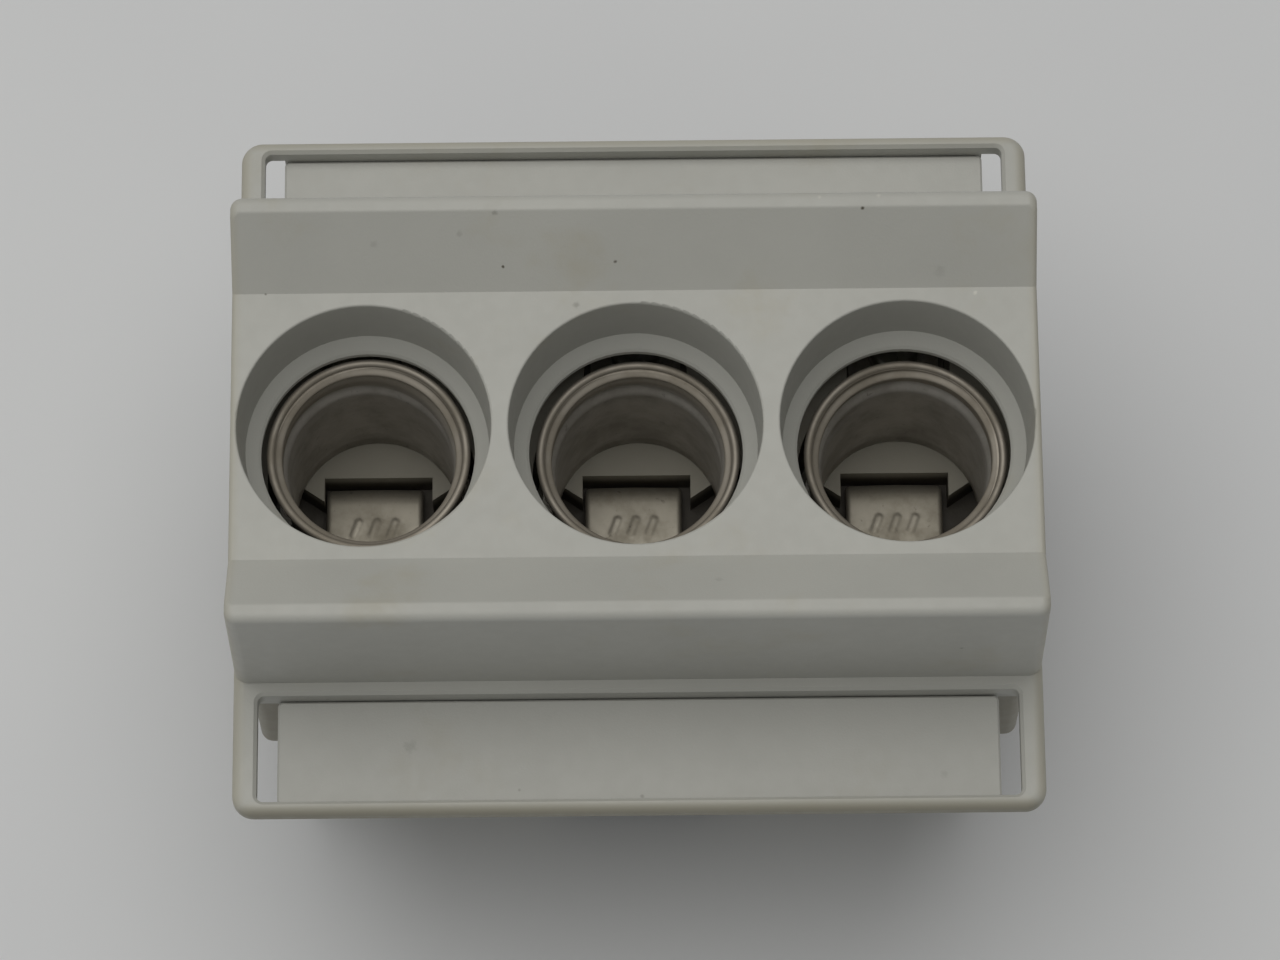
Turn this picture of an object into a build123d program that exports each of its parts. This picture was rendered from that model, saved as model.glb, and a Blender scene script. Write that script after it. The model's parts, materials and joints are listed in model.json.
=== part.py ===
from build123d import *
import os

# Three-pole D02 (E18) screw-in fuse base with a lift-off cover, for a 35 mm mounting rail.
# Frame: X runs across the poles, Y up the mounting panel, Z out of the panel. Z = 0 is the front
# of the rail, X = 0 the middle pole, Y = 0 the line through the three fuse axes. Millimetres.
# The line side, which feeds the foot contacts, is at -Y, and the load side at +Y.

# ---- driving dimensions ---------------------------------------------------------------------
PITCH = 27.0                 # pole to pole
POLES = {1: -PITCH, 2: 0.0, 3: PITCH}
# each shell's own place: off its funnel's axis along X and Y, and the height of its rim
SHELL_PLACE = {1: (0.0, 0.35), 2: (0.2, 0.1), 3: (0.25, 0.0)}
SHELL_TOP = {1: 47.8, 2: 47.1, 3: 46.8}

# cover
SHOULDER_Z = 44.0            # top of the two shoulders
FLANGE_T = 2.0               # shoulder plate
FLANGE_X, FLANGE_Y = 40.6, 36.2      # half sizes of the shoulder plate
FLANGE_R = 2.2               # plan corner radius
VALLEY_Z = 57.5              # floor of the trough that the fuses are screwed in from
RIDGE_Z = 63.4               # crest of the two ridges
VALLEY_Y = 14.0              # half width of the trough's floor
CREST_Y = 20.5               # inner edge of a crest
HOOD_X, HOOD_Y = 40.5, 22.55 # half sizes of the hood at shoulder height
DRAFT = 1.0                  # mould draft of the hood's walls, degrees
WALL, END_WALL = 2.0, 1.3    # side walls and end walls of the hood
SKIRT_Z = 37.0               # lower edge of the hood's skirt, where it sits on the base
WINDOW_X, WINDOW_Y0, WINDOW_Y1, WINDOW_R = 38.15, 23.8, 34.8, 0.7
STRIP_X, STRIP_GAP = 36.2, 0.15
STRIP_TOP, STRIP_T = 42.0, 1.2
FUNNEL_R, LEDGE_R, MOUTH_R = 12.64, 12.25, 10.78
LEDGE_Z, MOUTH_Z, MOUTH_BOTTOM = 50.0, 48.9, 48.0
FUNNEL_OUTER_R = 13.1
TONGUE_X, TONGUE_Y, TONGUE_BOTTOM = 38.7, 6.0, 24.0

# screw shell, E18 thread
SHELL_BOTTOM = 27.2
THREAD_MINOR_R, THREAD_MAJOR_R = 8.45, 9.25  # inside radii; the plain wall below has the minor radius
THREAD_START = 40.8          # foot of the thread's turn, on pole 2; it keeps its distance from the rim
LIP_R = 8.75                 # neck between the turn and the flared rim
SHEET = 0.5
RIM_R = 10.3

# base
CHAMBER_R = 10.6
SEAT_Z = 29.5                # step that the shell straps lie on
FLOOR_Z = 27.0               # insulating floor beside the foot contact
WELL_Z = 23.0                # recess round the foot contact
WELL_R = 9.5
BLOCK_X, BLOCK_Y = 39.2, 22.3
NECK_X, NECK_Y, NECK_Z = 38.9, 20.3, 41.0    # part of the block inside the hood
STEP_Z = 21.0                # the block stands on the narrower rail foot here
LOWER_X, LOWER_Y = 37.0, 21.2
FOOT_Z = -4.5                # what the base stands on behind the rail

# conductors and terminals
BAR_T = 1.5
BAR_HALF = 4.7               # half width of the bar inside a terminal cage
FOOT_HALF = 5.05             # half width of the foot contact
FOOT_TOP = 25.5
PIP_Y = -0.2                 # row of coined pips on the foot contact
TERMINAL_Y = 26.4
CAGE_X, CAGE_Y, CAGE_WALL = 6.3, 3.4, 1.4    # half sizes, side wall
CAGE_FLOOR_T, CAGE_ROOF_T = 1.6, 2.0
WIRE_SPACE = 7.2             # under the bar with the terminal open
SCREW_R, SCREW_HEAD_R, SCREW_HEAD_T, SCREW_CLEAR = 2.5, 3.75, 2.6, 0.05
CAGE_TRAVEL = 4.4
BAY_X, BAY_WALL, BAY_Y = 6.6, 2.0, 29.8
BAY_FLOOR_Z, BAY_FLOOR_T = 20.4, 1.2
BAR_TOP = SEAT_Z + BAR_T
CHANNEL_X = 5.3              # channels in the block that the bars lie in
FIXING_Y, LINE_FIXING_Y, FIXING_R = 16.9, -17.9, 1.5      # screws that hold the bars down
FOOT_SCREWS = [(x, y) for x in (-PITCH / 2, PITCH / 2) for y in (-15.5, 15.5)]

# rail
RAIL_T = 1.0
SEAT_Y = 15.5                # half width of the face that rests on the rail
FOOT_Y0, FOOT_Y1 = 17.8, 21.2
LATCH_X, LATCH_TAIL_Y = 7.5, 22.9
SPRING_R, SPRING_WIRE_R, SPRING_Y0, SPRING_Z, SPRING_TURNS = 1.4, 0.25, -17.5, 4.4, 7

OUT = "parts"


# ---- helpers ----------------------------------------------------------------------------------
def block(x0, x1, y0, y1, z0, z1):
    """A box between two corners."""
    return Pos((x0 + x1) / 2, (y0 + y1) / 2, (z0 + z1) / 2) * Box(x1 - x0, y1 - y0, z1 - z0)


def disc(r, z0, z1, x=0.0, y=0.0):
    """An upright cylinder."""
    return Pos(x, y, (z0 + z1) / 2) * Cylinder(r, z1 - z0)


def turned(points):
    """A solid of revolution about Z from (radius, height) points."""
    return revolve(Plane.XZ * make_face(Polyline(*points, close=True)), Axis.Z)


def prism_x(points, half):
    """A prism along X from (Y, Z) points."""
    return extrude(Plane.YZ * make_face(Polyline(*points, close=True)), half, both=True)


def slab(sketch, z, height):
    """A sketch raised from height z."""
    return extrude(Pos(0, 0, z) * sketch, height)


def both_sides(solid):
    """A solid and its mirror image across the XZ plane."""
    return solid + mirror(solid, Plane.XZ)


def save(shape, name):
    """One STEP per node, holding its separate solids."""
    solids = shape.solids()
    export_step(solids[0] if len(solids) == 1 else Compound(children=solids), f"{OUT}/{name}.step")


# ---- cover ------------------------------------------------------------------------------------
def hood():
    """Drafted outer body with the trough between its two ridges and rounded outer edges."""
    body = extrude(Pos(0, 0, SHOULDER_Z) * RectangleRounded(2 * HOOD_X, 2 * HOOD_Y, 1.5),
                   RIDGE_Z - SHOULDER_Z, taper=DRAFT)
    above = RIDGE_Z + 1
    body -= prism_x([(-VALLEY_Y, VALLEY_Z), (VALLEY_Y, VALLEY_Z), (CREST_Y, RIDGE_Z),
                     (CREST_Y, above), (-CREST_Y, above), (-CREST_Y, RIDGE_Z)], 60)
    crest = [e for e in body.edges() if e.center().Z > RIDGE_Z - 0.01 and abs(e.center().Y) > CREST_Y + 0.1]
    body = fillet(crest, 0.9)
    ends = [e for e in body.edges()
            if abs(e.center().X) > 39 and VALLEY_Z - 0.1 < e.center().Z < RIDGE_Z - 0.3
            and abs(e.center().Y) < CREST_Y]
    return fillet(ends, 0.5)


def funnel_cut():
    """The opening that a fuse carrier is screwed through: steep wall, ledge and mouth, with eased rims."""
    ease = 0.25
    outline = Polyline((MOUTH_R, MOUTH_BOTTOM - 1), (MOUTH_R, MOUTH_Z - ease), (MOUTH_R + ease, MOUTH_Z + 0.05),
                       (LEDGE_R, LEDGE_Z), (FUNNEL_R, VALLEY_Z - ease))
    rim = RadiusArc((FUNNEL_R, VALLEY_Z - ease), (FUNNEL_R + ease, VALLEY_Z), ease)
    rest = Polyline((FUNNEL_R + ease, VALLEY_Z), (FUNNEL_R + ease, VALLEY_Z + 1), (0, VALLEY_Z + 1),
                    (0, MOUTH_BOTTOM - 1), (MOUTH_R, MOUTH_BOTTOM - 1))
    return revolve(Plane.XZ * make_face(outline + rim + rest), Axis.Z)


def window_cut():
    """A shoulder's window, with an eased upper rim."""
    ease = 0.35
    middle = Pos(0, (WINDOW_Y0 + WINDOW_Y1) / 2)
    length, width = 2 * WINDOW_X, WINDOW_Y1 - WINDOW_Y0
    through = slab(middle * RectangleRounded(length, width, WINDOW_R), SHOULDER_Z - FLANGE_T - 1, FLANGE_T + 2)
    wide = RectangleRounded(length + 2 * ease, width + 2 * ease, WINDOW_R + ease)
    rim = extrude(Pos(0, 0, SHOULDER_Z + 0.001) * middle * wide, -ease - 0.001, taper=45)
    return through + rim


def cover():
    plate = slab(RectangleRounded(2 * FLANGE_X, 2 * FLANGE_Y, FLANGE_R), SHOULDER_Z - FLANGE_T, FLANGE_T)
    plate = fillet(plate.edges().group_by(Axis.Z)[-1], 1.1)
    plate = fillet(plate.edges().group_by(Axis.Z)[0], 0.3)
    skirt = slab(RectangleRounded(2 * HOOD_X, 2 * HOOD_Y, 1.5), SKIRT_Z, SHOULDER_Z - SKIRT_Z)
    body = hood() + plate + skirt
    inner_y, inner_x = HOOD_Y - WALL - 0.05, HOOD_X - END_WALL
    roof, slope_drop = VALLEY_Z - 1.8, 2.4
    rise = (RIDGE_Z - VALLEY_Z) / (CREST_Y - VALLEY_Y)
    peak = VALLEY_Z - slope_drop + (inner_y - VALLEY_Y) * rise
    foot = VALLEY_Y + (slope_drop - 1.8) / rise
    body -= prism_x([(-inner_y, SKIRT_Z - 1), (-inner_y, peak), (-foot, roof), (foot, roof), (inner_y, peak),
                     (inner_y, SKIRT_Z - 1)], inner_x)
    for x in POLES.values():
        body += disc(FUNNEL_OUTER_R, MOUTH_BOTTOM, roof + 0.5, x)
    for x in POLES.values():
        body -= Pos(x, 0, 0) * funnel_cut()
    body -= both_sides(window_cut())
    # a rib along each long side of a terminal strip, with ledge tabs below that carry the strip
    tab_top, under = STRIP_TOP - STRIP_T, SHOULDER_Z - FLANGE_T
    inner = block(-STRIP_X, STRIP_X, HOOD_Y - 0.5, WINDOW_Y0, tab_top, under)
    outer = block(-STRIP_X, STRIP_X, WINDOW_Y1, WINDOW_Y1 + 0.6, tab_top, under)
    body += both_sides(inner + outer)
    for x in (-33.5, -PITCH / 2, PITCH / 2, 33.5):
        inner = block(x - 2.5, x + 2.5, HOOD_Y - 0.5, WINDOW_Y0 + 0.7, tab_top - 1, tab_top)
        outer = block(x - 2.5, x + 2.5, WINDOW_Y1 - 0.7, WINDOW_Y1 + 0.6, tab_top - 1, tab_top)
        body += both_sides(inner + outer)
    tongue = block(TONGUE_X, HOOD_X - 0.2, -TONGUE_Y, TONGUE_Y, TONGUE_BOTTOM, SKIRT_Z + 1)
    tongue = chamfer(tongue.edges().group_by(Axis.Z)[0].filter_by(Axis.Y), 0.6)
    body += tongue + mirror(tongue, Plane.YZ)
    return body


def terminal_strip(side):
    """A flat strip that closes one shoulder window and lifts out by its ends."""
    y0, y1 = WINDOW_Y0 + STRIP_GAP, WINDOW_Y1 - STRIP_GAP
    strip = block(-STRIP_X, STRIP_X, y0, y1, STRIP_TOP - STRIP_T, STRIP_TOP)
    strip = fillet(strip.edges().filter_by(Axis.Z), 0.5)
    strip = chamfer(strip.edges().group_by(Axis.Z)[-1], 0.2)
    # stiffening ribs hang between the terminal screws
    for x in (-PITCH / 2, PITCH / 2):
        strip += block(x - 0.6, x + 0.6, y0 + 1.5, y1 - 1.5, STRIP_TOP - STRIP_T - 2.5, STRIP_TOP - STRIP_T)
    return strip if side > 0 else mirror(strip, Plane.XZ)


# ---- screw shell ------------------------------------------------------------------------------
def screw_shell(top):
    """Rolled sheet shell: plain wall, one ring-shaped turn of thread, neck, flared rim. Its axis is X = Y = 0."""
    rise = top - SHELL_TOP[2]
    foot = THREAD_START + rise
    miter = SHEET * 0.4
    inside = [(THREAD_MINOR_R, SHELL_BOTTOM), (THREAD_MINOR_R, foot), (THREAD_MAJOR_R, foot + 1.3),
              (THREAD_MAJOR_R, foot + 2.1), (LIP_R, foot + 3.3), (LIP_R, top - 1.7), (RIM_R - 0.8, top - 0.7),
              (RIM_R - 0.55, top)]
    outside = [(THREAD_MINOR_R + SHEET, SHELL_BOTTOM), (THREAD_MINOR_R + SHEET, foot - miter),
               (THREAD_MAJOR_R + SHEET, foot + 1.3 - miter), (THREAD_MAJOR_R + SHEET, foot + 2.1 + miter),
               (LIP_R + SHEET, foot + 3.3 + miter), (LIP_R + SHEET, top - 1.7 - miter), (RIM_R - 0.35, top - 1.0),
               (RIM_R, top - 0.75), (RIM_R, top - 0.25), (RIM_R - 0.25, top)]
    return turned(inside + outside[::-1])


# ---- conductors -------------------------------------------------------------------------------
def fixing_hole(y, z0, z1):
    return disc(FIXING_R + 0.1, z0 - 1, z1 + 1, 0, y)


def shell_strap(x, y):
    """Flat bar from the load terminal, ending in an eye that is brazed round the shell's lower end."""
    eye = disc(CHAMBER_R - 0.6, SEAT_Z, BAR_TOP, x, y)
    tail = block(-BAR_HALF, BAR_HALF, 9.0, BAY_Y - 0.3, SEAT_Z, BAR_TOP)
    tail = fillet(tail.edges().filter_by(Axis.Z).group_by(Axis.Y)[-1], 1.0)
    hole = disc(THREAD_MINOR_R + SHEET, SEAT_Z - 1, BAR_TOP + 1, x, y)
    return eye + tail - hole - fixing_hole(FIXING_Y, SEAT_Z, BAR_TOP)


def foot_contact():
    """Bent bar from the line terminal to the middle of the chamber, with three coined pips."""
    low, high, t = FOOT_TOP, BAR_TOP, BAR_T
    rise0, rise1 = 13.4, 14.9
    # (Y, Z) outline of the bent bar, top side first
    run = [(-(BAY_Y - 0.3), high), (-rise1 + 0.3, high), (-rise0 + 0.3, low), (3.0, low), (3.8, low - 0.6),
           (4.0, low - 2.2), (2.6, low - 2.2), (2.4, low - t), (-rise0 - 0.9, low - t), (-rise1 - 0.9, high - t),
           (-(BAY_Y - 0.3), high - t)]
    bar = prism_x(run, FOOT_HALF)
    # the bar narrows where it leaves the block, to pass through the terminal cage
    for s in (-1, 1):
        bar -= block(min(s * BAR_HALF, s * 9), max(s * BAR_HALF, s * 9), -40, -BLOCK_Y + 1.6, 20, 40)
    bar -= fixing_hole(LINE_FIXING_Y, high - t, high)
    for x in (-1.9, 0.0, 1.9):
        bar += Pos(x, PIP_Y, low) * Rot(0, 0, -20) * Box(0.5, 2.0, 0.3)
    return bar


def bar_screw(y):
    """Small pan-head screw that holds a bar down on the base."""
    head = disc(2.6, BAR_TOP, BAR_TOP + 1.8, 0, y)
    head = fillet(head.edges().group_by(Axis.Z)[-1], 0.7)
    head -= block(-0.4, 0.4, y - 3, y + 3, BAR_TOP + 0.9, BAR_TOP + 2)
    return head + disc(FIXING_R, BAR_TOP - 8.5, BAR_TOP, 0, y)


# ---- terminals --------------------------------------------------------------------------------
def cage():
    """Rising clamp cage, open towards +Y for the conductor, at its lowest place."""
    inner_floor = SEAT_Z - WIRE_SPACE
    roof = BAR_TOP + 0.3
    y0, y1 = TERMINAL_Y - CAGE_Y, TERMINAL_Y + CAGE_Y
    body = block(-CAGE_X, CAGE_X, y0, y1, inner_floor - CAGE_FLOOR_T, roof + CAGE_ROOF_T)
    body = fillet(body.edges().filter_by(Axis.Y), 0.9)
    body -= block(-CAGE_X + CAGE_WALL, CAGE_X - CAGE_WALL, y0 - 1, y1 + 1, inner_floor, roof)
    # grip grooves across the cage's floor
    for i in range(-1, 2):
        body -= block(-CAGE_X + CAGE_WALL, CAGE_X - CAGE_WALL, TERMINAL_Y + 2 * i - 0.25, TERMINAL_Y + 2 * i + 0.25,
                      inner_floor - 0.3, inner_floor + 0.1)
    return body - disc(SCREW_R + SCREW_CLEAR, roof - 1, roof + CAGE_ROOF_T + 1, 0, TERMINAL_Y)


def terminal_screw():
    """Clamp screw: its tip bears on the bar, its head has a cross and a slot."""
    z0 = BAR_TOP + SCREW_CLEAR
    z1 = BAR_TOP + 0.3 + CAGE_ROOF_T + CAGE_TRAVEL + 0.1
    shank = disc(SCREW_R, z0, z1, 0, TERMINAL_Y)
    shank = chamfer(shank.edges().group_by(Axis.Z)[0], 0.5)
    head = disc(SCREW_HEAD_R, z1, z1 + SCREW_HEAD_T, 0, TERMINAL_Y)
    head = chamfer(head.edges().group_by(Axis.Z)[-1], 0.4)
    top = z1 + SCREW_HEAD_T
    head -= block(-3.9, 3.9, TERMINAL_Y - 0.45, TERMINAL_Y + 0.45, top - 1.1, top + 1)
    head -= block(-1.9, 1.9, TERMINAL_Y - 0.6, TERMINAL_Y + 0.6, top - 1.7, top + 1)
    head -= block(-0.6, 0.6, TERMINAL_Y - 1.9, TERMINAL_Y + 1.9, top - 1.7, top + 1)
    return shank + head


# ---- base -------------------------------------------------------------------------------------
def foot_well():
    """Recess of the chamber's floor on the line side, notched for the foot contact's tip."""
    outline = make_face(Polyline((-WELL_R, -WELL_R), (WELL_R, -WELL_R), (WELL_R, 5.05), (5.65, 2.45), (5.65, 5.0),
                                 (-5.65, 5.0), (-5.65, 2.45), (-WELL_R, 5.05), close=True))
    return slab(outline & Circle(WELL_R), WELL_Z, FLOOR_Z - WELL_Z + 1)


def pole_cuts():
    """Everything taken out of the block for one pole, about X = Y = 0."""
    top = NECK_Z + 1
    bend = [(-14.1, FOOT_TOP - BAR_T), (-14.6, FOOT_TOP - BAR_T), (-16.3, SEAT_Z), (-16.3, BAR_TOP),
            (-14.1, BAR_TOP)]
    holes = [disc(FIXING_R + 0.02, BAR_TOP - 9.5, SEAT_Z + 1, 0, y) for y in (FIXING_Y, LINE_FIXING_Y)]
    # chamber, its stepped floor, the load channel, and the line channel that drops at the bend
    return [disc(CHAMBER_R, SEAT_Z, top),
            disc(WELL_R, FLOOR_Z, SEAT_Z + 1),
            foot_well(),
            block(-CHANNEL_X, CHANNEL_X, 9.0, 40, SEAT_Z, top),
            block(-CHANNEL_X, CHANNEL_X, -40, -14.2, SEAT_Z, top),
            block(-CHANNEL_X, CHANNEL_X, -14.2, -7.0, FOOT_TOP - BAR_T, top),
            prism_x(bend, CHANNEL_X)] + holes


def terminal_bay():
    """U-shaped bay for one load terminal, about X = 0."""
    low = BAY_FLOOR_Z - BAY_FLOOR_T
    out = BAY_X + BAY_WALL
    bay = block(-out, out, BLOCK_Y - 1, BAY_Y, low, SKIRT_Z - 0.3)
    bay = chamfer(bay.edges().filter_by(Axis.X).group_by(Axis.Z)[0].group_by(Axis.Y)[-1], 1.0)
    return bay - block(-BAY_X, BAY_X, BLOCK_Y, BAY_Y + 1, BAY_FLOOR_Z, SKIRT_Z + 1)


def base_body():
    """Insulating block that holds the shells, the bars and the terminals."""
    body = block(-BLOCK_X, BLOCK_X, -BLOCK_Y, BLOCK_Y, STEP_Z, SKIRT_Z)
    body = fillet(body.edges().filter_by(Axis.Z), 1.2)
    body = fillet(body.edges().group_by(Axis.Z)[0].filter_by(Axis.Y), 2.0)
    body += block(-NECK_X, NECK_X, -NECK_Y, NECK_Y, SKIRT_Z, NECK_Z)
    for x in POLES.values():
        body += Pos(x, 0, 0) * both_sides(terminal_bay())
    # barriers between the poles
    for x in (-PITCH / 2, PITCH / 2):
        body += both_sides(block(x - 0.8, x + 0.8, BLOCK_Y - 1, BAY_Y - 0.4, STEP_Z, SKIRT_Z - 0.3))
    for x in POLES.values():
        for cut in pole_cuts():
            body -= Pos(x, 0, 0) * cut
    # recesses for the cover's tongues
    recess = block(TONGUE_X - 0.3, 41, -TONGUE_Y - 0.3, TONGUE_Y + 0.3, TONGUE_BOTTOM - 0.5, NECK_Z + 0.5)
    body -= recess + mirror(recess, Plane.YZ)
    for x, y in FOOT_SCREWS:
        body -= disc(FIXING_R + 0.02, STEP_Z - 1, STEP_Z + 5.5, x, y)
    return body


def rail_foot():
    """Lower moulding with the rail seat, the fixed hook and the latch's guides."""
    body = block(-LOWER_X, LOWER_X, -LOWER_Y, LOWER_Y, 0, STEP_Z)
    body = fillet(body.edges().filter_by(Axis.Z), 1.2)
    body = body + feet() - rail_cut()
    # cored out from below between ribs, round four screw pillars
    for x in (-24.0, 24.0):
        body -= block(x - 10.5, x + 10.5, -12.5, 12.5, -1, 8) - block(x - 0.8, x + 0.8, -13, 13, -2, 9)
    for x, y in FOOT_SCREWS:
        body -= disc(FIXING_R + 0.1, -1, STEP_Z + 1, x, y) + disc(3.0, -1, STEP_Z - 8.0, x, y)
    return body


def foot_screws():
    """Four pan-head screws that hold the rail foot under the block."""
    screws = []
    for x, y in FOOT_SCREWS:
        head = disc(2.7, STEP_Z - 9.7, STEP_Z - 8.0, x, y)
        head = fillet(head.edges().group_by(Axis.Z)[0], 0.6)
        head -= block(x - 1.5, x + 1.5, y - 0.3, y + 0.3, STEP_Z - 10, STEP_Z - 8.8)
        head -= block(x - 0.3, x + 0.3, y - 1.5, y + 1.5, STEP_Z - 10, STEP_Z - 8.8)
        screws.append(head + disc(FIXING_R, STEP_Z - 8.0, STEP_Z + 5.0, x, y))
    return Compound(children=screws)


def feet():
    """Fixed hook on the load side, and the two guide blocks of the latch on the line side."""
    lip = [(FOOT_Y1, 0.5), (FOOT_Y1, FOOT_Z), (16.6, FOOT_Z), (15.9, FOOT_Z + 0.7), (15.9, -RAIL_T - 0.25),
           (FOOT_Y0, -RAIL_T - 0.25), (FOOT_Y0, 0.5)]
    feet_made = prism_x(lip, LOWER_X - 3)
    feet_made -= block(-12, 12, 10, FOOT_Y1 + 1, FOOT_Z - 1, 0)
    for s in (-1, 1):
        guide = block(LATCH_X + 0.3, LOWER_X - 3, -FOOT_Y1, -FOOT_Y0, FOOT_Z, 0.5)
        guide -= block(LATCH_X, LATCH_X + 1.8, -FOOT_Y1 - 1, -FOOT_Y0 + 1, -2.4, -0.5)
        feet_made += guide if s > 0 else mirror(guide, Plane.YZ)
    return feet_made


def rail_cut():
    """Relief beyond the rail's seat, and the latch's pocket."""
    cut = both_sides(block(-45, 45, SEAT_Y, FOOT_Y0, -RAIL_T, 0.3))
    cut += block(-4.4, 4.4, -30, -5.0, -0.5, 2.6) + block(-4.4, 4.4, SPRING_Y0, -5.0, -0.5, 6.5)
    cut += block(-LATCH_X - 0.3, LATCH_X + 0.3, -30, -SEAT_Y, -0.5, 2.6)
    return cut - block(-45, 45, FOOT_Y0 - 0.01, 30, -8, 8)


# ---- rail latch -------------------------------------------------------------------------------
def rail_latch():
    """Sliding latch: nose under the rail's edge, arm inside the base with a lug for the spring."""
    nose = [(-LATCH_TAIL_Y, -4.2), (-16.9, -4.2), (-16.0, -3.3), (-16.0, -RAIL_T - 0.25),
            (-FOOT_Y0, -RAIL_T - 0.25), (-FOOT_Y0, 2.3), (-FOOT_Y1 + 0.6, 2.3), (-FOOT_Y1 + 0.6, -0.8),
            (-LATCH_TAIL_Y, -0.8)]
    body = prism_x(nose, LATCH_X)
    body += block(-LATCH_X - 1.5, LATCH_X + 1.5, -FOOT_Y1 + 0.2, -FOOT_Y0, -2.2, -0.8)
    body += block(-4.0, 4.0, -FOOT_Y0 - 1, -7.0, 0.5, 2.3)
    body += block(-3.0, 3.0, -9.0, -7.0, 0.5, 6.1)
    # slot for a screwdriver tip in the tail
    return body - block(-2.6, 2.6, -22.2, -21.3, -6, -0.2)


def latch_spring():
    """Compression spring between the base's wall and the latch's lug."""
    y0, y1 = SPRING_Y0 + 0.02, -9.05
    length = y1 - y0 - 2 * SPRING_WIRE_R
    path = Helix(length / SPRING_TURNS, length, SPRING_R)
    wire = sweep(Plane(path @ 0, z_dir=path % 0) * Circle(SPRING_WIRE_R), path, is_frenet=True)
    return Pos(0, y0 + SPRING_WIRE_R, SPRING_Z) * Rot(-90, 0, 0) * wire


# ---- build ------------------------------------------------------------------------------------
os.makedirs(OUT, exist_ok=True)
save(cover(), "cover")
save(terminal_strip(-1), "line_terminal_strip")
save(terminal_strip(1), "load_terminal_strip")
save(base_body(), "base_body")
save(rail_foot(), "rail_foot")
save(foot_screws(), "rail_foot_screws")
save(rail_latch(), "rail_latch")
save(latch_spring(), "rail_latch_spring")
for pole, x in POLES.items():
    place = Pos(x, 0, 0)
    aside, up = SHELL_PLACE[pole]
    save(Pos(x + aside, up, 0) * screw_shell(SHELL_TOP[pole]), f"screw_shell_{pole}")
    save(place * shell_strap(aside, up), f"shell_strap_{pole}")
    save(place * foot_contact(), f"foot_contact_{pole}")
    for side, turn in (("load", Rot(0, 0, 0)), ("line", Rot(0, 0, 180))):
        save(place * turn * cage(), f"{side}_clamp_cage_{pole}")
        save(place * turn * terminal_screw(), f"{side}_terminal_screw_{pole}")
save(Compound(children=[Pos(x, 0, 0) * bar_screw(FIXING_Y) for x in POLES.values()]), "shell_strap_screws")
save(Compound(children=[Pos(x, 0, 0) * bar_screw(LINE_FIXING_Y) for x in POLES.values()]),
     "foot_contact_screws")
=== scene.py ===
import json
import math

import bmesh
import bpy
from mathutils import Matrix, Vector


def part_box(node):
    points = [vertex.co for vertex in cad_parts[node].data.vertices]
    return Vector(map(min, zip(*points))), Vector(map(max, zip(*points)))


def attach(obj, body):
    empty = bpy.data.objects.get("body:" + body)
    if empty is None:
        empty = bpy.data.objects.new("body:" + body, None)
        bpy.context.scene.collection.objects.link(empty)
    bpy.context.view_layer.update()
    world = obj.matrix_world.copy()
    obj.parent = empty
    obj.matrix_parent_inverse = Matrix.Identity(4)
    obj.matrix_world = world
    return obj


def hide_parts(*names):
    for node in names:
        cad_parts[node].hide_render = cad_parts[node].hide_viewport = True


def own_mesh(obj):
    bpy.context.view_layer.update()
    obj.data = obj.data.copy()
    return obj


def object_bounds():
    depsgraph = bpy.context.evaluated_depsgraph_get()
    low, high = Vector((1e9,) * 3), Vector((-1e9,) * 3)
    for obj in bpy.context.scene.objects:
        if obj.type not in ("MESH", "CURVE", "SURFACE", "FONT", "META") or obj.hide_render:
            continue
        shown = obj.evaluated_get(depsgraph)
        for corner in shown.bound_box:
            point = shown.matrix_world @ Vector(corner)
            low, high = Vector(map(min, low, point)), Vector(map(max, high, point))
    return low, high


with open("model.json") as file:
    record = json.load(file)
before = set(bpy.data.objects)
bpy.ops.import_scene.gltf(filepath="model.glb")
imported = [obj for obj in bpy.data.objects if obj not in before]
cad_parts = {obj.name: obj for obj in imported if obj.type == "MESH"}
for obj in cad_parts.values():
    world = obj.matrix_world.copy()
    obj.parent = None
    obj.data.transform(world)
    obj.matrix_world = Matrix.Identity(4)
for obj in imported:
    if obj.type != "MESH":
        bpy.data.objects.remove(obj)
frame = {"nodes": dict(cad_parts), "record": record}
cad_low, cad_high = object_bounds()

# Metres, in the part's own frame: X across the poles, Y up the panel, Z out of it.
MM = 0.001
POLES = (1, 2, 3)
SIDES = ("line", "load")

# camera, as a distance from the middle funnel and a tilt towards the line side
CAMERA_DISTANCE = 544.3 * MM
CAMERA_TILT, CAMERA_ROLL = math.radians(19.12), math.radians(-0.56)
CAMERA_ASIDE, CAMERA_BELOW = 0.43 * MM, 5.73 * MM
LENS, SENSOR = 154.3, 36.0
TROUGH_Z = 57.5 * MM

# screw shell
THREAD_PITCH, SHEET = 3.0 * MM, 0.5 * MM
MINOR_R, MAJOR_R, LIP_R, RIM_R = 8.45 * MM, 9.25 * MM, 8.75 * MM, 10.3 * MM
BEAD_R = 0.42 * MM                             # the rim is rolled outwards round this radius
THREAD_DOWN = 6.2 * MM                         # below the rim, where the thread's groove has faded out
THREAD_AT_BACK = {1: 4.9 * MM, 2: 4.5 * MM, 3: 3.3 * MM}      # depth of each groove at its shell's +Y side
LIP_MEETS_RIM = {1: 125.0, 2: 80.0, 3: 5.0}    # angle in degrees where the lip comes nearest to the rim
# the shell's mesh: distances below the rim where the spacing of its rings changes, and rings in each part
PLAIN_DOWN, LIP_DOWN, BEAD_DOWN = 8.5 * MM, 2.2 * MM, 0.45 * MM
PLAIN_RINGS, THREAD_RINGS, LIP_RINGS = 6, 36, 25
RINGS_UNDER_BEAD = 7                           # top rings of the lip that the bead hides from outside
SHELL_AROUND = 144

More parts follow.
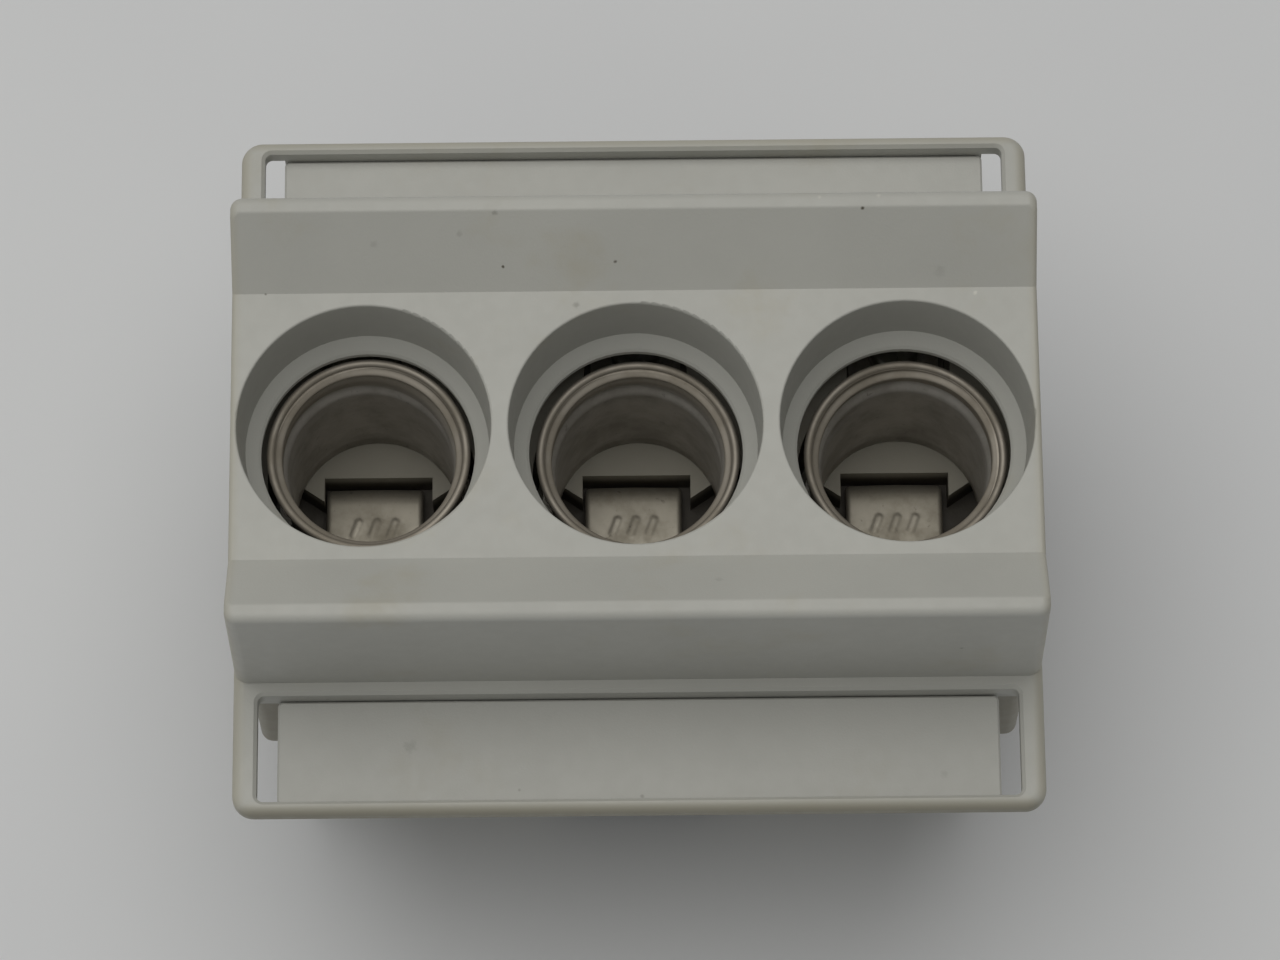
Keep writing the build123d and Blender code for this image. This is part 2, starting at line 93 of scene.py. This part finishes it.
# contact tongue, in mm
TONGUE_ASIDE = {1: -0.45, 2: -0.35, 3: 0.0}    # how far each is pressed aside of its slot's middle
TONGUE_HALF, BAR_HALF, TONGUE_FROM_Y = 5.05, 4.7, -19.5       # half widths, and where the tongue's starts
BAR_THICK, BAR_CORNER, BAR_CROWN = 1.46, 0.5, 0.12
PIPS_X, PIP_Y = (-1.9, 0.0, 1.9), -0.2         # the three coined bars
PIP_HALF_LENGTH, PIP_RISE, PIP_SLANT = 0.75, 0.12, math.radians(20)

# terminal screw
SCREW_PITCH, SCREW_DEPTH, SHANK_R, HEAD_T = 0.8 * MM, 0.42 * MM, 2.46 * MM, 2.6 * MM

# latch spring
SPRING_WIRE_R, SPRING_TURNS, SPRING_STEPS = 0.25 * MM, 8.0, 288

FLOOR_HALF = 0.9


# ---- mesh helpers -----------------------------------------------------------------------------
def new_object(name, vertices, faces, smooth=True):
    """An object at the origin from plain vertices and faces."""
    mesh = bpy.data.meshes.new(name)
    mesh.from_pydata([tuple(v) for v in vertices], [], faces)
    mesh.validate()
    if smooth:
        mesh.shade_smooth()
    obj = bpy.data.objects.new(name, mesh)
    bpy.context.scene.collection.objects.link(obj)
    return obj


def ring_faces(rings, around, closed_rings=False):
    """Quads between rings that each go once around; closed_rings joins the last ring to the first."""
    faces = []
    for i in range(rings if closed_rings else rings - 1):
        a, b = i * around, (i + 1) % rings * around
        for j in range(around):
            k = (j + 1) % around
            faces.append((a + j, a + k, b + k, b + j))
    return faces


def capped_faces(rings, around):
    """Quads between rings of vertices, and a flat face over the first and the last ring."""
    faces = ring_faces(rings, around)
    faces.append(tuple(range(around))[::-1])
    faces.append(tuple(range((rings - 1) * around, rings * around)))
    return faces


def tube(path, radius, around=12):
    """Vertices and faces of a round wire along a path of points, with flat ends."""
    vertices = []
    side = None
    for i, point in enumerate(path):
        ahead = path[min(i + 1, len(path) - 1)] - path[max(i - 1, 0)]
        ahead.normalize()
        side = ahead.orthogonal() if side is None else side - ahead * side.dot(ahead)
        side.normalize()
        up = ahead.cross(side)
        for j in range(around):
            a = math.tau * j / around
            vertices.append(point + side * (radius * math.cos(a)) + up * (radius * math.sin(a)))
    return vertices, capped_faces(len(path), around)


def applied(obj):
    """Bakes an object's modifiers into its mesh."""
    graph = bpy.context.evaluated_depsgraph_get()
    graph.update()
    mesh = bpy.data.meshes.new_from_object(obj.evaluated_get(graph))
    obj.modifiers.clear()
    obj.data = mesh
    return obj


def fix_normals(obj):
    """Makes every face point outwards."""
    mesh = bmesh.new()
    mesh.from_mesh(obj.data)
    bmesh.ops.recalc_face_normals(mesh, faces=mesh.faces)
    mesh.to_mesh(obj.data)
    mesh.free()
    return obj


# ---- material helpers -------------------------------------------------------------------------
class Graph:
    """A node material under construction: add() makes a node, and its inputs are values or sockets."""

    def __init__(self, name, **settings):
        self.material = bpy.data.materials.new(name)
        self.material.use_nodes = True
        self.tree = self.material.node_tree
        self.shader = self.tree.nodes["Principled BSDF"]
        for key, value in settings.items():
            self.shader.inputs[key.replace("_", " ")].default_value = value
        self.place = self.add("ShaderNodeTexCoord").outputs["Object"]

    def add(self, kind, inputs=None, **properties):
        node = self.tree.nodes.new(kind)
        for key, value in properties.items():
            setattr(node, key, value)
        for key, value in (inputs or {}).items():
            self.feed(node.inputs[key], value)
        return node

    def feed(self, socket, value):
        if isinstance(value, bpy.types.NodeSocket):
            self.tree.links.new(value, socket)
        else:
            socket.default_value = value

    def math(self, operation, a, b=0.0, c=0.0):
        return self.add("ShaderNodeMath", {0: a, 1: b, 2: c}, operation=operation).outputs[0]

    def noise(self, scale, detail=3.0, rough=0.5, place=None):
        inputs = {"Vector": place or self.place, "Scale": scale, "Detail": detail, "Roughness": rough}
        return self.add("ShaderNodeTexNoise", inputs).outputs["Fac"]

    def ramp(self, value, low, high, out_low=0.0, out_high=1.0):
        """Maps low..high smoothly to out_low..out_high."""
        inputs = {"Value": value, "From Min": low, "From Max": high, "To Min": out_low, "To Max": out_high}
        node = self.add("ShaderNodeMapRange", interpolation_type="SMOOTHSTEP")
        for key, amount in inputs.items():
            self.feed(node.inputs[key], amount)
        return node.outputs["Result"]

    def mix(self, amount, a, b, blend="MIX"):
        node = self.add("ShaderNodeMix", data_type="RGBA", blend_type=blend)
        self.feed(node.inputs["Factor"], amount)
        self.feed(node.inputs["A"], a)
        self.feed(node.inputs["B"], b)
        return node.outputs["Result"]

    def axis(self, name):
        return self.add("ShaderNodeSeparateXYZ", {0: self.place}).outputs[name]

    def bump(self, height, distance, strength=1.0):
        node = self.add("ShaderNodeBump", {"Height": height, "Distance": distance, "Strength": strength})
        self.feed(self.shader.inputs["Normal"], node.outputs["Normal"])

    def set(self, socket, value):
        self.feed(self.shader.inputs[socket], value)


def rgb(r, g, b):
    return (r, g, b, 1.0)


# ---- materials --------------------------------------------------------------------------------
def moulded_plastic(name, colour, stain, marks=(), chips=(), rim=None, painted_shade_below=None, mottle=0.03,
                    roughness=0.5):
    """Aged moulded plastic: cloudy tone, faint yellow stains, fine grain, specks of dirt, pale chips, and
    painted shade along the line-side edge and in the chamber wells.
    """
    g = Graph(name, Specular_IOR_Level=0.4)
    cloud = g.noise(40.0, 4.0, 0.6)
    tone = g.ramp(cloud, 0.3, 0.7, 1.0 - mottle, 1.0 + mottle)
    base = g.mix(1.0, rgb(*colour), g.add("ShaderNodeCombineColor", {0: tone, 1: tone, 2: tone}).outputs[0],
                 "MULTIPLY")
    yellow = g.ramp(g.noise(60.0, 5.0, 0.65), 0.54, 0.78, 0.0, 0.45)
    base = g.mix(yellow, base, rgb(*stain))
    if rim:
        # handled edges have yellowed: the outermost part of the part along X and Y
        x0, x1, y0, y1 = [limit * MM for limit in rim]
        ends = g.ramp(g.math("ABSOLUTE", g.axis("X")), x0, x1, 0.0, 0.55)
        sides = g.ramp(g.math("ABSOLUTE", g.axis("Y")), y0, y1, 0.0, 0.55)
        base = g.mix(g.math("MAXIMUM", ends, sides), base, rgb(*stain))
        # painted shade: the edge on the line side is darkened, standing in for the shade it lies in under a
        # light from the far side
        line_side_shade = g.ramp(g.axis("Y"), -y1, -y0 - 0.4 * MM, 0.55, 0.0)
        base = g.mix(line_side_shade, base, rgb(*[c * 0.45 for c in stain]))
    specks = g.add("ShaderNodeTexVoronoi", {"Vector": g.place, "Scale": 420.0}, feature="F1")
    few = g.ramp(specks.outputs["Color"], 0.95, 0.97)
    dot = g.math("MULTIPLY", g.ramp(specks.outputs["Distance"], 0.05, 0.09, 1.0, 0.0), few)
    base = g.mix(g.math("MULTIPLY", dot, 0.3), base, rgb(0.07, 0.06, 0.045))
    if painted_shade_below:
        # painted shade: the wells at the bottom of the fuse chambers are darkened, standing in for the shade
        # deep down in them
        well_shade = g.ramp(g.axis("Z"), (painted_shade_below - 2.0) * MM, painted_shade_below * MM, 0.94, 0.0)
        for name_of_axis, low, high in (("X", -37.0, 37.0), ("Y", -10.5, 10.5), ("Z", 22.5, 40.0)):
            along = g.axis(name_of_axis)
            well_shade = g.math("MULTIPLY", well_shade, g.math("GREATER_THAN", along, low * MM))
            well_shade = g.math("MULTIPLY", well_shade, g.math("LESS_THAN", along, high * MM))
        base = g.mix(well_shade, base, rgb(0.035, 0.028, 0.02))
    for spots, tint in ((marks, rgb(0.05, 0.04, 0.02)), (chips, rgb(0.62, 0.61, 0.55))):
        for x, y, z, size, strength in spots:
            centre = (x * MM, y * MM, z * MM)
            away = g.add("ShaderNodeVectorMath", {0: g.place, 1: centre}, operation="DISTANCE")
            ragged = g.math("MULTIPLY_ADD", g.noise(2500.0, 2.0), size * MM, away.outputs["Value"])
            spot = g.ramp(ragged, size * MM * 0.7, size * MM * 1.4, strength, 0.0)
            base = g.mix(spot, base, tint)
    g.set("Base Color", base)
    g.set("Roughness", g.ramp(g.noise(700.0, 4.0), 0.3, 0.7, roughness - 0.05, roughness + 0.07))
    grain = g.math("MULTIPLY_ADD", g.noise(900.0, 3.0), 0.6, g.noise(3800.0, 2.0))
    g.bump(grain, 0.03 * MM, 0.5)
    return g.material


def dull_metal(name, light, dark, roughness, streak, stain_scale=160.0, metallic=1.0, worn_above=None):
    """Plated metal with tarnish clouds and fine drawing lines; a haze of oxide makes it less metallic."""
    g = Graph(name, Metallic=metallic)
    cloud = g.noise(stain_scale, 5.0, 0.65)
    base = g.mix(g.ramp(cloud, 0.35, 0.68), rgb(*light), rgb(*dark))
    spots = g.ramp(g.noise(900.0, 4.0, 0.7), 0.62, 0.72, 0.0, 0.5)
    base = g.mix(spots, base, rgb(*[c * 0.45 for c in dark]))
    if worn_above:
        # the plating is worn brown where screw caps rub
        worn = g.ramp(g.axis("Z"), (worn_above - 1.5) * MM, worn_above * MM, 0.0, 0.65)
        base = g.mix(worn, base, rgb(0.25, 0.215, 0.165))
    g.set("Base Color", base)
    g.set("Roughness", g.ramp(cloud, 0.3, 0.7, roughness - 0.06, roughness + 0.12))
    lines = g.add("ShaderNodeMapping", {"Vector": g.place, "Scale": streak}).outputs["Vector"]
    g.bump(g.noise(60.0, 3.0, 0.6, place=lines), 0.02 * MM, 0.35)
    return g.material


# dirt: x, y, z, size in mm, and how dark
COVER_MARKS = [
    (-13.1, 16.0, 59.3, 0.25, 0.85), (-1.9, 16.3, 59.6, 0.27, 0.75), (22.8, 20.3, 63.3, 0.28, 0.9),
    (-36.9, 14.0, 57.5, 0.2, 0.6), (-5.8, 12.5, 57.5, 0.5, 0.3), (-13.8, 20.3, 63.1, 0.45, 0.3),
    (-25.9, 17.7, 61.2, 0.7, 0.14), (-17.4, 18.6, 61.7, 0.5, 0.16), (30.6, 15.3, 58.7, 0.9, 0.1),
    (31.9, -22.4, 53.0, 0.3, 0.5), (8.0, -17.5, 60.7, 0.6, 0.12)]
STRIP_MARKS = [
    (-22.9, -28.7, 42.0, 1.0, 0.16), (0.3, -34.1, 42.0, 0.3, 0.3), (30.5, -32.1, 42.0, 0.6, 0.12)]
# places where the surface is knocked pale: x, y, z, size in mm, and how pale
CHIPS = [(34.1, 13.4, 57.5, 0.35, 0.6), (18.5, 21.5, 63.4, 0.3, 0.35), (24.4, 21.6, 63.3, 0.35, 0.35)]

MATERIALS = {
    "cover_plastic": moulded_plastic("cover_plastic_aged", (0.442, 0.442, 0.412), (0.39, 0.36, 0.27),
                                     COVER_MARKS, chips=CHIPS, rim=(39.0, 40.6, 34.6, 36.2)),
    "strip_plastic": moulded_plastic("strip_plastic_aged", (0.445, 0.445, 0.417), (0.39, 0.365, 0.29),
                                     STRIP_MARKS, mottle=0.02),
    "base_plastic": moulded_plastic("base_plastic_aged", (0.295, 0.28, 0.235), (0.25, 0.21, 0.145),
                                    mottle=0.06, painted_shade_below=26.8, roughness=0.55),
    "latch_plastic": moulded_plastic("latch_plastic_dark", (0.05, 0.052, 0.052), (0.07, 0.065, 0.055),
                                     mottle=0.1, roughness=0.45),
    "shell_metal": dull_metal("shell_nickel", (0.50, 0.48, 0.45), (0.37, 0.35, 0.315), 0.60,
                              (1.0, 1.0, 40.0), metallic=0.75, worn_above=45.0),
    "contact_metal": dull_metal("contact_nickel", (0.47, 0.44, 0.375), (0.35, 0.32, 0.26), 0.58,
                                (30.0, 1.0, 1.0), metallic=0.85),
    "strap_metal": dull_metal("strap_tin", (0.62, 0.60, 0.55), (0.42, 0.38, 0.30), 0.40, (30.0, 1.0, 1.0)),
    "cage_steel": dull_metal("cage_zinc", (0.62, 0.62, 0.56), (0.45, 0.43, 0.34), 0.38, (1.0, 20.0, 1.0)),
    "zinc_steel": dull_metal("screw_zinc", (0.66, 0.66, 0.62), (0.46, 0.45, 0.38), 0.32, (1.0, 1.0, 12.0)),
    "spring_steel": dull_metal("spring_bright", (0.60, 0.60, 0.58), (0.40, 0.39, 0.36), 0.28,
                               (10.0, 10.0, 10.0)),
}
SLOT_OF = {part["node"]: part["material_slot"] for part in frame["record"]["subparts"]}


# nodes whose moulded or pressed edges are softened, and by how much in mm
SOFT_EDGES = {"base_body": 0.14, "rail_foot": 0.14, "rail_latch": 0.12}
SOFT_EDGES.update({f"{side}_clamp_cage_{pole}": 0.14 for side in SIDES for pole in POLES})


def dress_cad_nodes():
    """Every CAD node gets the detailed material of its slot, and some get softened edges."""
    for node, obj in frame["nodes"].items():
        obj.data.materials.clear()
        obj.data.materials.append(MATERIALS[SLOT_OF[node]])
        if node in SOFT_EDGES:
            bevel = obj.modifiers.new("soft_edges", "BEVEL")
            bevel.width, bevel.segments = SOFT_EDGES[node] * MM, 2
            bevel.limit_method, bevel.angle_limit = "ANGLE", math.radians(50)


def finish_piece(obj, node, body):
    """A modelled piece takes over from a CAD node, with its slot's material, and rides on a body."""
    obj.data.materials.clear()
    obj.data.materials.append(MATERIALS[SLOT_OF[node]])
    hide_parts(node)
    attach(obj, body)
    return obj


def middle(node):
    low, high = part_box(node)
    return (low + high) / 2


# ---- screw shells -----------------------------------------------------------------------------
def eased(value, low, high):
    """0 below low, 1 above high, and a smooth step between."""
    share = max(0.0, min(1.0, (value - low) / (high - low)))
    return share * share * (3 - 2 * share)


def plain_radius(down, lip):
    """Inner radius at a distance below the rim's top, without the groove; lip is how far down the lip is."""
    neck = (LIP_R - MINOR_R) * (1.0 - eased(down, 2.6 * MM, 4.2 * MM))
    flare = (RIM_R - 0.84 * MM - LIP_R) * (1.0 - eased(down, lip - 0.2 * MM, lip + 0.25 * MM))
    return MINOR_R + neck + flare


def groove_depth(down, angle, at_back):
    """Depth of the helical groove at a distance below the rim; it fades in from the plain wall."""
    depth = 0.0
    centre = at_back - THREAD_PITCH * (angle / math.tau - 0.25)
    for turn in range(-2, 4):
        level = centre + THREAD_PITCH * turn
        off = abs(down - level) / (1.3 * MM)
        if off < 1.0:
            strength = 1.0 - eased(level, THREAD_DOWN - 0.8 * MM, THREAD_DOWN)
            depth = max(depth, strength * (0.5 + 0.5 * math.cos(math.pi * off)))
    return depth * (MAJOR_R - MINOR_R) * eased(down, 1.4 * MM, 2.0 * MM)


def screw_shell(pole):
    """Thin shell with a rolled E18 thread that runs out into its rolled rim."""
    node = f"screw_shell_{pole}"
    low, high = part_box(node)
    axis = middle(node)
    height = high.z - low.z
    depths = [height - (height - PLAIN_DOWN) * i / PLAIN_RINGS for i in range(PLAIN_RINGS)]
    depths += [PLAIN_DOWN - (PLAIN_DOWN - LIP_DOWN) * i / THREAD_RINGS for i in range(THREAD_RINGS)]
    depths += [LIP_DOWN - (LIP_DOWN - BEAD_DOWN) * i / (LIP_RINGS - 1) for i in range(LIP_RINGS)]
    angles = [math.tau * j / SHELL_AROUND for j in range(SHELL_AROUND)]
    at_back = THREAD_AT_BACK[pole]
    meets = math.radians(LIP_MEETS_RIM[pole])
    lips = [(1.05 - 0.5 * math.cos(a - meets)) * MM for a in angles]
    rings = [[(plain_radius(down, lip) + groove_depth(down - lip + MM, a, at_back), high.z - down)
              for a, lip in zip(angles, lips)] for down in depths]
    outer_wall = [[(r + SHEET, z) for r, z in ring] for ring in rings[:len(depths) - RINGS_UNDER_BEAD]]
    for i in range(11):
        a = math.radians(190 - 26 * i)
        on_bead = (RIM_R - BEAD_R + BEAD_R * math.cos(a), high.z - BEAD_R + BEAD_R * math.sin(a))
        rings.append([on_bead] * SHELL_AROUND)
    rings += reversed(outer_wall)
    vertices = [Vector((axis.x + r * math.cos(a), axis.y + r * math.sin(a), z))
                for ring in rings for a, (r, z) in zip(angles, ring)]
    faces = ring_faces(len(rings), SHELL_AROUND, closed_rings=True)
    obj = fix_normals(new_object(f"threaded_shell_{pole}", vertices, faces))
    return finish_piece(obj, node, "base")


# ---- foot contacts ----------------------------------------------------------------------------
def contact_run():
    """(Y, Z) middle line of the foot contact's bar from the terminal to its turned-down tip, in mm."""
    run = [(-29.5, 30.25), (-24.0, 30.25), (-19.6, 30.25), (-19.4, 30.25), (-15.6, 30.25), (-15.0, 30.1),
           (-14.55, 29.6), (-13.95, 26.0), (-13.6, 25.1), (-12.9, 24.78), (-10.0, 24.75), (-7.0, 24.78),
           (-5.0, 24.84), (-3.2, 24.86)]
    for i in range(33):
        y = -2.4 + 0.13 * i
        run.append((y, 24.86 - 0.010 * max(0.0, y + 1.0) ** 2))
    return run + [(2.4, 24.76), (2.9, 24.68), (3.35, 24.5), (3.75, 24.15), (3.95, 23.6)]


def rounded_section(half, thick, corner, crown):
    """Points round a bar's section as (aside, up), with rounded corners and a crowned top."""
    points = []
    out, up = half - corner, thick / 2 - corner
    for cx, cy, start in ((out, up, 0), (-out, up, 90), (-out, -up, 180), (out, -up, 270)):
        for i in range(6):
            a = math.radians(start + 18 * i)
            points.append((cx + corner * math.cos(a), cy + corner * math.sin(a)))
        if start == 0:
            flat = [(half - corner) * (1 - 2 * i / 64) for i in range(1, 64)]
            points += [(x, thick / 2) for x in flat]
    return [(x, y + (crown * (1 - (x / half) ** 2) if y > 0 else 0.0)) for x, y in points]


def pip_height(x, y):
    """Height of the three slanted coined bars above the tongue, in mm."""
    height = 0.0
    for middle_x in PIPS_X:
        dx, dy = x - middle_x, y - PIP_Y
        along = dx * math.sin(PIP_SLANT) + dy * math.cos(PIP_SLANT)
        across = dx * math.cos(PIP_SLANT) - dy * math.sin(PIP_SLANT)
        away = math.hypot(across, max(0.0, abs(along) - PIP_HALF_LENGTH))
        height = max(height, PIP_RISE * (1.0 - eased(away, 0.1, 0.6)))
    return height


def bend_aside(pole, y):
    """How far the tongue of a contact stands aside at a place along it, in mm."""
    return TONGUE_ASIDE[pole] * eased(y, -10.0, -2.0)


def foot_contact(pole):
    """Pressed bar with rounded edges, a crowned middle and three plain coined bars as its marking."""
    node = f"foot_contact_{pole}"
    origin = Vector((middle(node).x, 0.0, 0.0))
    vertices = []
    run = contact_run()
    for i, (y, z) in enumerate(run):
        before, after = run[max(i - 1, 0)], run[min(i + 1, len(run) - 1)]
        ahead = Vector((0.0, after[0] - before[0], after[1] - before[1])).normalized()
        up = Vector((1.0, 0.0, 0.0)).cross(ahead)
        half = BAR_HALF if y < TONGUE_FROM_Y else TONGUE_HALF
        section = rounded_section(half, BAR_THICK, BAR_CORNER, BAR_CROWN)
        for aside, rise in section:
            if rise > 0 and y > -3.0:
                rise += pip_height(aside, y)
            point = Vector((aside + bend_aside(pole, y), y, z)) + up * rise
            vertices.append(origin + point * MM)
    faces = capped_faces(len(run), len(section))
    obj = fix_normals(new_object(f"contact_tongue_{pole}", vertices, faces))
    return finish_piece(obj, node, "base")


# ---- terminal screws --------------------------------------------------------------------------
def screw_thread(bottom, top, radius):
    """Vertices and faces of an M5 shank with a helical thread, about the Z axis."""
    around = 32
    rings = int((top - bottom) / (SCREW_PITCH / 8)) + 1
    vertices = []
    for i in range(rings):
        z = bottom + (top - bottom) * i / (rings - 1)
        taper = min(1.0, 0.7 + 0.3 * (z - bottom) / (0.6 * MM))
        for j in range(around):
            a = math.tau * j / around
            turn = (z / SCREW_PITCH - j / around) % 1.0
            r = (radius - SCREW_DEPTH * abs(2 * turn - 1)) * taper
            vertices.append(Vector((r * math.cos(a), r * math.sin(a), z)))
    return vertices, capped_faces(rings, around)


def screw_head(bottom, top, radius):
    """Head with a cross recess over a slot, as an object about the Z axis."""
    profile = [(radius, bottom), (radius, top - 0.55 * MM), (radius - 0.12 * MM, top - 0.22 * MM),
               (radius - 0.5 * MM, top)]
    around = 48
    vertices = [Vector((r * math.cos(math.tau * j / around), r * math.sin(math.tau * j / around), z))
                for r, z in profile for j in range(around)]
    faces = capped_faces(len(profile), around)
    head = fix_normals(new_object("screw_head", vertices, faces, smooth=False))
    for length, width, deep in ((2 * radius + MM, 0.9 * MM, 1.1 * MM), (3.8 * MM, 1.2 * MM, 1.7 * MM),
                                (1.2 * MM, 3.8 * MM, 1.7 * MM)):
        tool = new_object("tool", *tapered_box(length, width, top - deep, top + 0.2 * MM), smooth=False)
        cut = head.modifiers.new("cut", "BOOLEAN")
        cut.operation, cut.solver, cut.object = "DIFFERENCE", "EXACT", tool
        applied(head)
        bpy.data.objects.remove(tool)
    return head


def tapered_box(length, width, bottom, top):
    """A box about the Z axis whose foot is a little smaller than its top."""
    vertices = []
    for z, share in ((bottom, 0.86), (top, 1.0)):
        for x, y in ((-1, -1), (1, -1), (1, 1), (-1, 1)):
            vertices.append(Vector((x * length / 2, y * width / 2 * share, z)))
    return vertices, [(3, 2, 1, 0), (4, 5, 6, 7), (0, 1, 5, 4), (1, 2, 6, 5), (2, 3, 7, 6), (3, 0, 4, 7)]


def terminal_screws():
    """Six clamp screws from one mesh: threaded shank and recessed head."""
    low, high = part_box("line_terminal_screw_1")
    neck = high.z - HEAD_T
    radius = (high.x - low.x) / 2
    head = screw_head(neck, high.z, radius)
    shank = new_object("shank", *screw_thread(low.z, neck + 0.2 * MM, SHANK_R), smooth=False)
    mesh = bmesh.new()
    mesh.from_mesh(head.data)
    mesh.from_mesh(fix_normals(shank).data)
    mesh.to_mesh(head.data)
    mesh.free()
    bpy.data.objects.remove(shank)
    bevel = head.modifiers.new("edges", "BEVEL")
    bevel.width, bevel.segments = 0.06 * MM, 2
    bevel.limit_method, bevel.angle_limit = "ANGLE", math.radians(50)
    applied(head)
    head.data.shade_smooth()
    for side in SIDES:
        for pole in POLES:
            node = f"{side}_terminal_screw_{pole}"
            screw = bpy.data.objects.new(f"{side}_screw_threaded_{pole}", head.data.copy())
            bpy.context.scene.collection.objects.link(screw)
            axis = middle(node)
            turn = math.radians(37 * pole + (70 if side == "load" else 0))
            screw.data.transform(Matrix.Translation((axis.x, axis.y, 0.0)) @ Matrix.Rotation(turn, 4, "Z"))
            finish_piece(screw, node, f"{side}_screw_{pole}")
    bpy.data.objects.remove(head)


# ---- latch spring -----------------------------------------------------------------------------
def latch_spring():
    """Compression spring with closed ends."""
    node = "rail_latch_spring"
    low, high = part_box(node)
    radius = (high.x - low.x) / 2 - SPRING_WIRE_R
    first, run = low.y + SPRING_WIRE_R, high.y - low.y - 2 * SPRING_WIRE_R
    centre = middle(node)
    path = []
    for i in range(SPRING_STEPS + 1):
        share = i / SPRING_STEPS
        along = share - 0.055 * math.sin(math.tau * share)             # coils close up at both ends
        a = math.tau * SPRING_TURNS * share
        path.append(Vector((centre.x + radius * math.cos(a), first + run * along,
                            centre.z + radius * math.sin(a))))
    obj = fix_normals(new_object("latch_coil_spring", *tube(path, SPRING_WIRE_R)))
    finish_piece(obj, node, "base")
    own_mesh(obj)


# ---- stage ------------------------------------------------------------------------------------
def floor():
    """Plain pale sheet that the part lies on."""
    z = cad_low.z
    corners = [(x * FLOOR_HALF, y * FLOOR_HALF, z) for x, y in ((-1, -1), (1, -1), (1, 1), (-1, 1))]
    sheet = new_object("floor_sheet", corners, [(0, 1, 2, 3)], smooth=False)
    g = Graph("pale_paper", Roughness=0.9, Specular_IOR_Level=0.2)
    cloud = g.ramp(g.noise(9.0, 3.0), 0.3, 0.7)
    g.set("Base Color", g.mix(cloud, rgb(0.69, 0.70, 0.72), rgb(0.72, 0.73, 0.745)))
    g.bump(g.noise(1500.0, 3.0), 0.02 * MM, 0.2)
    sheet.data.materials.append(g.material)


def area_light(name, place, target, size, watts, colour):
    light = bpy.data.lights.new(name, "AREA")
    light.shape, light.size, light.energy, light.color = "DISK", size, watts, colour
    obj = bpy.data.objects.new(name, light)
    bpy.context.scene.collection.objects.link(obj)
    obj.location = place
    obj.rotation_mode = "QUATERNION"
    obj.rotation_quaternion = (Vector(target) - Vector(place)).to_track_quat("-Z", "Y")


def lights():
    """A broad soft light overhead and a pale room that is dimmer on the right."""
    area_light("overhead", (-0.10, 0.14, 1.0), (0.0, 0.0, 0.05), 1.1, 5.6, (1.0, 0.985, 0.95))
    world = bpy.data.worlds.new("room")
    world.use_nodes = True
    tree = world.node_tree
    room = tree.nodes["Background"]
    room.inputs["Color"].default_value = (0.98, 0.985, 0.96, 1.0)
    direction = tree.nodes.new("ShaderNodeTexCoord")
    split = tree.nodes.new("ShaderNodeSeparateXYZ")
    dimming = tree.nodes.new("ShaderNodeMapRange")
    for socket, value in (("From Min", -1.0), ("From Max", 1.0), ("To Min", 0.38), ("To Max", 0.17)):
        dimming.inputs[socket].default_value = value
    tree.links.new(direction.outputs["Generated"], split.inputs[0])
    tree.links.new(split.outputs["X"], dimming.inputs["Value"])
    tree.links.new(dimming.outputs["Result"], room.inputs["Strength"])
    bpy.context.scene.world = world
    bpy.context.scene.view_settings.view_transform = "Standard"


def camera():
    """Nearly overhead, tilted towards the line side."""
    data = bpy.data.cameras.new("view")
    data.lens, data.sensor_width = LENS, SENSOR
    data.clip_start, data.clip_end = 0.05, 10.0
    obj = bpy.data.objects.new("view", data)
    bpy.context.scene.collection.objects.link(obj)
    turn = Matrix.Rotation(CAMERA_TILT, 4, "X") @ Matrix.Rotation(CAMERA_ROLL, 4, "Z")
    aim = Vector((0.0, 0.0, TROUGH_Z))
    offset = turn @ Vector((CAMERA_ASIDE, -CAMERA_BELOW, CAMERA_DISTANCE))
    obj.matrix_world = Matrix.Translation(aim + offset) @ turn
    bpy.context.scene.camera = obj


# ---- build ------------------------------------------------------------------------------------
camera()
lights()
floor()
dress_cad_nodes()
for pole in POLES:
    screw_shell(pole)
    foot_contact(pole)
terminal_screws()
latch_spring()
